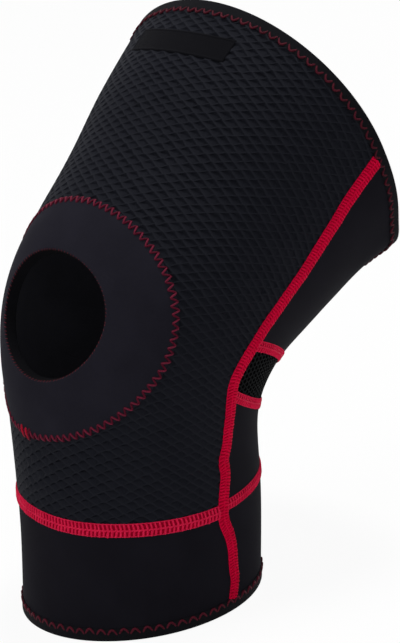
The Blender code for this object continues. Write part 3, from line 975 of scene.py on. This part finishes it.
padStitch = {
    # pitch, swing, thread, and jitter in millimetres
    "edge": (3.80 * mm, 3.2 * mm, 1.0 * mm, 0.12),
    "bartack": (4.8 * mm, 5.6 * mm, 1.4 * mm, 0.15),
    "bartackAt": math.radians(-102.0),
    "bartackLong": 7.2 * mm,
    "beside": 0.12 * mm,  # lift outside the pad
    "steps": (-0.04, 0.10, 0.30, 0.50, 0.70, 0.90, 1.04),  # along a leg
    "rises": (-0.7, 0.0, 0.20, 0.25, 0.20, 0.0, -0.7),  # there, in threads
    "bow": 0.3,  # 0 for straight legs
}


def ovalTrack(oval, half, start):
    return Track(*fromPattern(*oval(start + fullTurn, half)), closed=True)


padLine = ovalTrack(onPad, frontCut["padStitch"], padStitch["bartackAt"])
lineInset = frontCut["pad"][0] - frontCut["padStitch"][0]
tack = 0.5 * padStitch["bartackLong"]


def padBase(b):
    return padTop(np.maximum(lineInset + b, 0.0)) + padStitch["beside"] * (b < -lineInset)


def zigzagRuns(part, start, stop, seed):
    # each leg rises out of one needle hole and dips into the next
    pitch, swing, thread, jitter = padStitch[part]
    legs = 2 * max(int(round((stop - start) / pitch)), 1)
    steps = np.array(padStitch["steps"])
    k = np.arange(legs)[:, None]
    nudge = np.random.default_rng(seed).normal(0, jitter, (legs + 1, 2)) * mm
    nudge[-1] = nudge[0]
    a = start + (stop - start) * (k + steps) / legs + lerp(nudge[:-1, :1], nudge[1:, :1], steps)
    b = 0.5 * swing * np.where(k % 2, -1, 1) * lerp(1 - 2 * steps, np.cos(math.pi * steps), padStitch["bow"])
    b = b + lerp(nudge[:-1, 1:], nudge[1:, 1:], steps)
    points = padLine.point(a, b, padBase(b) + np.array(padStitch["rises"]) * thread)
    # every second leg takes the darker copy of the thread: painted shade on the legs that face away from the
    # light
    return [(leg, 1.0, n % 2) for n, leg in enumerate(points)]


for part, name, start, stop, finish, seed in (
        ("edge", "pad_edge_stitch", tack, padLine.length - tack, "zigzag", 11),
        ("bartack", "pad_bartack", -tack, tack, "bartack", 12)):
    runs = zigzagRuns(part, start, stop, seed)
    sewn(name, runs, padStitch[part][2], (finish, "zigzagShadedLegs"))

# whip stitch over the roll of the pad
openingStitch = {
    "pitch": 1.9 * mm,
    "thread": 0.28 * mm,
    "turns": (15, 30, 50, 70, 90),  # degrees over the roll
    "lift": 0.03 * mm,
    "bury": 0.2 * mm,
    "slant": 0.3,  # half of it, in millimetres
    "jitter": 0.12,  # in pitches
    "inset": 30 * mm,  # from the outer edge of the pad
}
openLine = ovalTrack(onOval, frontCut["opening"], 0.0)
count = int(openLine.length / openingStitch["pitch"])
draw = np.random.default_rng(21)
roll, rimTop = padForm["roll"], padTop(openingStitch["inset"])
turned = np.radians(openingStitch["turns"])
b = -roll + (roll + openingStitch["lift"]) * np.sin(turned)
h = rimTop - roll + (roll + openingStitch["lift"]) * np.cos(turned)
h[0] -= openingStitch["bury"]
nudge = draw.normal(0, openingStitch["jitter"], count)[:, None]
a = (np.arange(count)[:, None] + nudge) * openLine.length / count
points = openLine.point(a + openingStitch["slant"] * np.linspace(-1, 1, len(b)) * mm, b, h)
runs = [(whip, 1.0, 0) for whip in points]
sewn("opening_edge_stitch", runs, openingStitch["thread"], ("rimThread",))
print("pad stitches sewn")


# flatlock seams: two rows of rungs over a ribbon, with a chain between them; the ribbon is a darker red than
# the thread, painted shade under the rungs
flatlock = {
    "thread": 0.80 * mm,
    "ribbon": 0.42 * mm,  # its height
    "slant": 0.45 * mm,
    "border": 0.25,  # beyond the rungs, millimetres
    "inner": (0.3 * mm, -0.25 * mm),  # inner ends of upper and lower rungs
    "steps": (0.0, 0.14, 0.5, 0.86, 1.0),  # along a rung
    "rises": (-0.45, -0.10, 0.06, 0.04, -0.2),  # there, in threads over the ribbon
    "shares": (1.30, 1.46, 1.2, 0.7),  # thickness: upper rungs, lower rungs, chain, edges
    "uneven": (0.12, 0.07, 0.06),  # spread of slant and place in millimetres, of thickness as a share
    "chain": (0.05 * mm, 0.22 * mm, 0.12),  # place, swing, and rise in threads
    "edges": (0.3, 0.4),  # swing in that of the chain, height in that of the ribbon
    "bulge": (10, 8),  # steps across the ribbon, and power of its section
}
seamKinds = {
    # width in millimetres at heights on the leg; finish of thread, upper and lower ribbon
    "front": {"wide": ((0, 6.4), (250, 6.4)), "pitch": 1.98 * mm, "full": 1.0,
              "finish": ("rungs", "slots", "slots")},
    "back": {"wide": ((0, 5.2), (250, 5.2)), "pitch": 1.98 * mm, "full": 0.75,
             "finish": ("rungs", "slots", "fill")},
    "side": {"wide": ((5, 5.4), (20, 6.3), (60, 6.8), (150, 7.0), (250, 7.0)), "pitch": 1.45 * mm, "full": 1.0,
             "finish": ("flatlock", "fill", "fill")},
}


def flatlockSeam(name, track, kind, seed):
    draw = np.random.default_rng(seed)

    def edgeAt(a):
        wide = np.interp(track.spot(a)[0] / mm, *np.array(kind["wide"]).T)
        return (0.5 * wide - flatlock["border"]) * mm

    count = max(int(round(track.length / kind["pitch"])), 2)
    a = track.length * (np.arange(count) + 0.5) / count
    base, thick = (kind["full"] * flatlock[part] for part in ("ribbon", "thread"))
    upper, lower, chain, edges = flatlock["shares"]
    edge = edgeAt(a)[:, None]
    steps = np.array(flatlock["steps"])
    rises = np.array(flatlock["rises"]) * thick
    upperEnd, lowerEnd = flatlock["inner"]
    slantSpread, placeSpread, thickSpread = flatlock["uneven"]
    runs = []
    for first, last, share, slant in ((edge, upperEnd, upper, 1), (lowerEnd, -edge, lower, -1)):
        slope = slant * flatlock["slant"] + draw.normal(0, slantSpread, count) * mm
        along = a[:, None] + draw.normal(0, placeSpread, count)[:, None] * mm + slope[:, None] * (steps - 0.5)
        sideways = lerp(first, last, steps) + draw.normal(0, placeSpread, count)[:, None] * mm
        heights = base + (rises if slant > 0 else rises[::-1])
        shares = share * (1 + draw.normal(0, thickSpread, count))
        runs += [(points, shares[k], 0) for k, points in enumerate(track.point(along, sideways, heights))]
    fine = np.linspace(0, track.length, 2 * count + 1)
    middle, swing, rise = flatlock["chain"]
    edgeSwing, edgeHigh = flatlock["edges"]
    wave = np.where(np.arange(2 * count + 1) % 2, swing, -swing)
    runs.append((track.point(fine, middle + wave, base + rise * thick), chain, 0))
    for side in (1, -1):
        runs.append((track.point(fine, side * edgeAt(fine) + edgeSwing * wave, edgeHigh * base), edges, 0))
    across, power = flatlock["bulge"]

    def layRibbon(x, y):
        b = 2 * edgeAt(track.length * x) * (0.5 - y)
        bulge = np.clip(1 - (2 * y - 1) ** power, 0, 1)
        return track.point(track.length * x, b, base * bulge), np.stack([x * track.length, b], -1) / mm

    # the ribbon takes the two darker finishes: painted shade under the rungs
    ribbon = gridSheet(count, across, layRibbon, finishAt=lambda y: 1 + int(y > 0.5))
    bmesh.ops.reverse_faces(ribbon, faces=ribbon.faces)
    addThreads(ribbon, runs, 0.5 * thick)
    addPiece(name, ribbon, kind["finish"], [name])


seamEnds = {"rim": 5.6 * mm, "side": 2.2 * mm}  # from the rims, from the middle of the side seam
heights = np.linspace(-2 * mm, 250 * mm, 700)
turn = np.linspace(0, 1, 500)
for name, sign in (("side_seam_outer", 1), ("side_seam_inner", -1)):
    angle = seamAngle(heights)
    low, high = shifted(hem, seamEnds["rim"])(angle), shifted(top, -seamEnds["rim"])(angle)
    keep = (heights > low) & (heights < high)
    flatlockSeam(name, Track(heights[keep], sign * angle[keep]), seamKinds["side"], 31 + sign)
crossSeams = {"front_cross_seam": frontCross, "back_cross_seam": backCross,
              "mesh_top_seam": meshTop, "mesh_bottom_seam": meshBottom}
for k, (name, line) in enumerate(crossSeams.items()):
    ahead = name.startswith("front")
    v = np.full_like(turn, 0.0 if ahead else math.pi)
    for n in range(10):
        edge = besideSeam(line(v), -seamEnds["side"] if ahead else seamEnds["side"])
        v = lerp(-edge, edge, turn) if ahead else lerp(edge, circle - edge, turn)
    flatlockSeam(name, Track(line(v), v), seamKinds["front" if ahead else "back"], 41 + k)
print("flatlock seams sewn")


# net behind the knee: open knit over a near-black ground, painted shade seen through the holes
kneeNet = {
    "column": 2.5 * mm,
    "pitch": 3.0 * mm,
    "count": (40, 14),
    "blunt": 1 / 3,
    "strand": 0.42 * mm,  # half its width
    "thick": 0.5 * mm,
    "margin": 0.2 * mm,  # of the last holes, from the seam lines
    "ground": (0.7 * mm, 3.3 * mm),  # depth under the net, thickness
    "grid": (120, 30),
    "cut": (0.178, 0.062),
}
sunk, groundThick = kneeNet["ground"]


def layGround(x, y):
    s, v = between(tucked(meshBottom, 1), tucked(meshTop, -1), *backSides, x, y)
    return raised(s, v, -sunk), clothSize(s, v)


ground = gridSheet(*kneeNet["grid"], layGround)
groundArea = clothArea(ground)
ground = addPiece("knee_back_mesh", ground, ("netGroundShade", "lining"), ["knee_back_mesh"])
thicken(ground, groundThick, 1)
net = honeycomb(kneeNet["column"], kneeNet["pitch"], kneeNet["blunt"], *kneeNet["count"])
level = 0.5 * (meshBottom(math.pi) + meshTop(math.pi))


def fromNet(across, up):
    s = level + up
    return s, math.pi + across / halfWidth(np.full_like(s, level))


s, v = fromNet(*cellMiddles(net))
inside = (s > meshBottom(v) + kneeNet["margin"]) & (s < meshTop(v) - kneeNet["margin"])
keepCells(net, inside & (v > backRight(s)) & (v < backLeft(s)))
inset = bmesh.ops.inset_individual(net, faces=net.faces[:], thickness=kneeNet["strand"], use_even_offset=True)
strands = set(inset["faces"])
bmesh.ops.delete(net, geom=[hole for hole in net.faces if hole not in strands], context="FACES_ONLY")
flat = np.array([vert.co for vert in net.verts])
layCells(net, flat, skin(*fromNet(flat[:, 0], flat[:, 1])))
netPiece = addPiece("knee_back_net", net, ("net",), [])
thicken(netPiece, kneeNet["thick"])
declareCut(kneeNet["cut"], groundArea, ["mesh_top_seam", "mesh_bottom_seam"])
print("net laid:", len(netPiece.data.polygons), "faces,", round(groundArea * 1e4), "cm2")


# bare label on the thigh, its ends drawn up by the curve of the leg
label = {
    "wide": 62 * mm,
    "high": 13 * mm,
    "aside": -1.5 * mm,
    "drop": 25.2 * mm,  # from the top of the front
    "sag": 2.5 * mm,
    "lift": 0.42 * mm,
    "edge": 0.25 * mm,
    "border": (0.8 * mm, 0.4 * mm, 0.2 * mm),  # inset, spread and height
    "grid": (200, 60),
}
labelUp = np.interp(top(0.0), axisSteps, frontRun) - frontZero - label["drop"]


def layLabel(x, y):
    across, up = (x - 0.5) * label["wide"], (y - 0.5) * label["high"]
    s, v = fromPattern(across + label["aside"], labelUp + up + label["sag"] * (2 * x - 1) ** 2)
    inset = np.minimum(0.5 * label["wide"] - np.abs(across), 0.5 * label["high"] - np.abs(up))
    border, spread, high = label["border"]
    ridge = np.exp(-(((inset - border) / spread) ** 2))
    height = label["lift"] * smooth(inset / label["edge"]) + high * ridge
    return raised(s, v, height), np.stack([across, up], -1) / mm


labelCloth = gridSheet(*label["grid"], layLabel)
labelPiece = addPiece("label_patch", labelCloth, ("label",), ["label_patch"])
print("label laid")


# floor, light and camera
studio = {
    "floor": (6.0, 0.82),  # half its width, grey level
    "whiteShare": 0.94,
    "sky": 0.22,
    "aim": (0, 0.03, 0.13),
    # lamps: place, size, power
    "lamps": {"top": ((-0.1, 0.6, 2.0), 0.5, 26.0),
              "front": ((-0.6, -1.4, 1.5), 1.0, 13.5),
              "side": ((1.5, -1.0, 0.8), 1.8, 7.5),
              "back": ((0.5, 1.7, 1.2), 1.2, 3.0)},
}
floorHalf, floorGrey = studio["floor"]


def seenWhite(owner, kind, shader, sockets, output, share):
    # the camera sees white, by a share, the rest is lit by the shader
    owner.use_nodes = True
    tree = owner.node_tree
    tree.nodes.clear()
    wire = Wire(tree)
    lit = wire.node(shader, sockets)
    white = wire.node(kind, {"Color": (1.0, 1.0, 1.0), "Strength": 1.0})
    rays = wire.node("ShaderNodeLightPath").socket.node.outputs
    seen, *others = (Wire(tree, rays["Is " + ray + " Ray"]) for ray in ("Camera", "Glossy", "Transmission"))
    for other in others:
        seen = seen.most(other)
    seen = seen * share
    wire.node(output, {"Surface": wire.node("ShaderNodeMixShader", {0: seen, 1: lit, 2: white})})


bm = bmesh.new()
bmesh.ops.create_grid(bm, x_segments=1, y_segments=1, size=floorHalf)
floorMesh = bpy.data.meshes.new("floor")
bm.to_mesh(floorMesh)
bm.free()
floor = placed("floor", floorMesh)
floorFinish = bpy.data.materials.new("pale floor")
seenWhite(floorFinish, "ShaderNodeEmission", "ShaderNodeBsdfDiffuse", {"Color": (floorGrey,) * 3},
          "ShaderNodeOutputMaterial", studio["whiteShare"])
floorMesh.materials.append(floorFinish)

world = bpy.data.worlds.new("studio")
scene.world = world
seenWhite(world, "ShaderNodeBackground", "ShaderNodeBackground",
          {"Color": (1.0, 1.0, 1.0), "Strength": studio["sky"]}, "ShaderNodeOutputWorld", 1.0)

for name, (place, size, power) in studio["lamps"].items():
    lamp = bpy.data.lights.new(name, "AREA")
    lamp.shape = "DISK"
    lamp.size = size
    lamp.energy = power
    lampObject = placed(name, lamp)
    lampObject.location = place
    lampObject.rotation_euler = (Vector(place) - Vector(studio["aim"])).to_track_quat("Z", "Y").to_euler()

view = {
    "azimuth": 47.7,
    "elevation": 19.5,
    "roll": -7.4,
    "distance": 1.5,
    "sensor": 36.0,
    "focal": 3300 / 643,  # in sensors
    "aim": (0.0, 0.010, 0.140),
    "shift": (36.8 * mm, -9.3 * mm),  # right and up in the picture
}
a, e, r = (math.radians(view[key]) for key in ("azimuth", "elevation", "roll"))
back = Vector((math.sin(a) * math.cos(e), -math.cos(a) * math.cos(e), math.sin(e)))
levelRight = Vector((math.cos(a), math.sin(a), 0.0))
levelUp = back.cross(levelRight)
right = levelRight * math.cos(r) + levelUp * math.sin(r)
upward = levelUp * math.cos(r) - levelRight * math.sin(r)
target = Vector(view["aim"]) + right * view["shift"][0] + upward * view["shift"][1]
camera = bpy.data.cameras.new("camera")
camera.sensor_width = view["sensor"]
camera.lens = view["sensor"] * view["focal"]
cameraObject = placed("camera", camera)
turned = Matrix((right, upward, back)).transposed().to_4x4()
turned.translation = target + back * view["distance"]
cameraObject.matrix_world = turned
scene.camera = cameraObject
scene.view_settings.view_transform = "Standard"
print("studio set")
